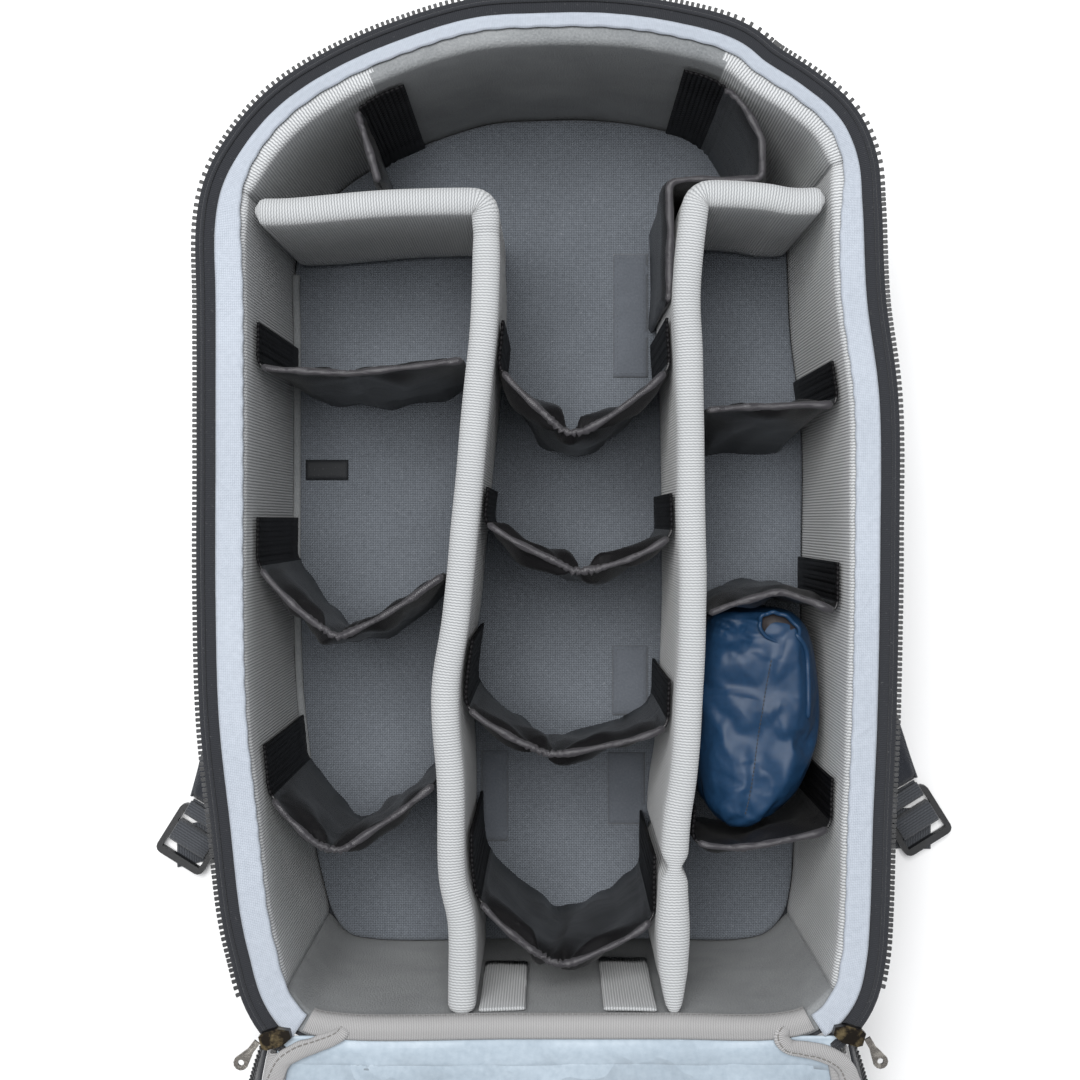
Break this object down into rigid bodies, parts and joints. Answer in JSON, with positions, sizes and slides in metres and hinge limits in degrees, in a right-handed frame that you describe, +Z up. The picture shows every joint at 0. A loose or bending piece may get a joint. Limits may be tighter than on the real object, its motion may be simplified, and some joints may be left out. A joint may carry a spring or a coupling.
{
  "type": "camera backpack",
  "caption": "Camera backpack lying open with its padded front folded down, showing a padded interior split by thick and thin dividers, open zip and harness below.",
  "frame": {"origin": "centre of the flat underside of the spine pad, on which the pack lies", "axes": "+Y toward the top of the pack, +Z up out of the open mouth, +X to the right seen from above"},
  "size_m": [0.469, 0.9428, 0.1941],
  "materials": {
    "outer_nylon": "matte coated nylon",
    "loop_lining": "brushed ribbed loop cloth",
    "floor_lining": "fine dark woven cloth",
    "rim_satin": "pale satin facing",
    "flap_satin": "pale blue satin with soft folds",
    "grosgrain_binding": "ribbed binding tape",
    "divider_nylon": "smooth dark nylon on foam",
    "zip_tape": "woven tape",
    "zip_teeth": "moulded teeth",
    "slider_metal": "antique brass",
    "pull_metal": "worn bright brass",
    "pouch_satin": "navy satin",
    "label_cloth": "bare woven label",
    "back_mesh": "spacer mesh",
    "webbing": "woven webbing",
    "buckle_plastic": "moulded grey plastic"
  },
  "bodies": {
    "root": {"anchor_webbing_left": "webbing", "anchor_webbing_right": "webbing", "body_zip_chain": "zip_teeth", "body_zip_tape": "zip_tape", "buckle_webbing_left": "webbing", "buckle_webbing_right": "webbing", "divider_foot_left": "loop_lining", "divider_foot_lower": "loop_lining", "divider_foot_middle": "loop_lining", "divider_foot_upper": "loop_lining", "end_tab_left": "loop_lining", "end_tab_right": "loop_lining", "flap_binding": "grosgrain_binding", "flap_lining": "flap_satin", "flap_panel": "outer_nylon", "flap_zip_chain": "zip_teeth", "flap_zip_tape": "zip_tape", "floor_pad": "floor_lining", "hinge_binding": "grosgrain_binding", "ladder_lock_left": "buckle_plastic", "ladder_lock_right": "buckle_plastic", "left_divider_1": "divider_nylon", "left_divider_2": "divider_nylon", "left_divider_3": "divider_nylon", "long_divider_left": "loop_lining", "long_divider_right": "loop_lining", "middle_divider_1": "divider_nylon", "middle_divider_2": "divider_nylon", "middle_divider_3": "divider_nylon", "middle_divider_4": "divider_nylon", "outer_shell": "outer_nylon", "rain_cover_pouch": "pouch_satin", "right_divider_1": "divider_nylon", "right_divider_2": "divider_nylon", "right_divider_3": "divider_nylon", "rim_facing": "rim_satin", "sewn_label": "label_cloth", "shoulder_strap_left": "outer_nylon", "shoulder_strap_right": "outer_nylon", "spine_pad": "back_mesh", "strap_loop_left": "webbing", "strap_loop_right": "webbing", "top_divider_left": "divider_nylon", "top_divider_right": "divider_nylon", "wall_pad_bottom": "loop_lining", "wall_pad_left": "loop_lining", "wall_pad_right": "loop_lining", "wall_pad_top": "loop_lining", "zip_slider_left": "slider_metal", "zip_slider_right": "slider_metal"},
    "zip_pull_left": {"zip_pull_left": "pull_metal"},
    "zip_pull_right": {"zip_pull_right": "pull_metal"}
  },
  "joints": [
    {"name": "pull_hinge_left", "type": "hinge", "parent": "root", "child": "zip_pull_left", "pos_m": [-0.13783, -0.2409, 0.1928], "axis": [-0.788, 0.6157, 0], "range_deg": [0, 110]},
    {"name": "pull_hinge_right", "type": "hinge", "parent": "root", "child": "zip_pull_right", "pos_m": [0.15519, -0.23928, 0.1928], "axis": [-0.866, -0.5, 0], "range_deg": [0, 110]}
  ]
}
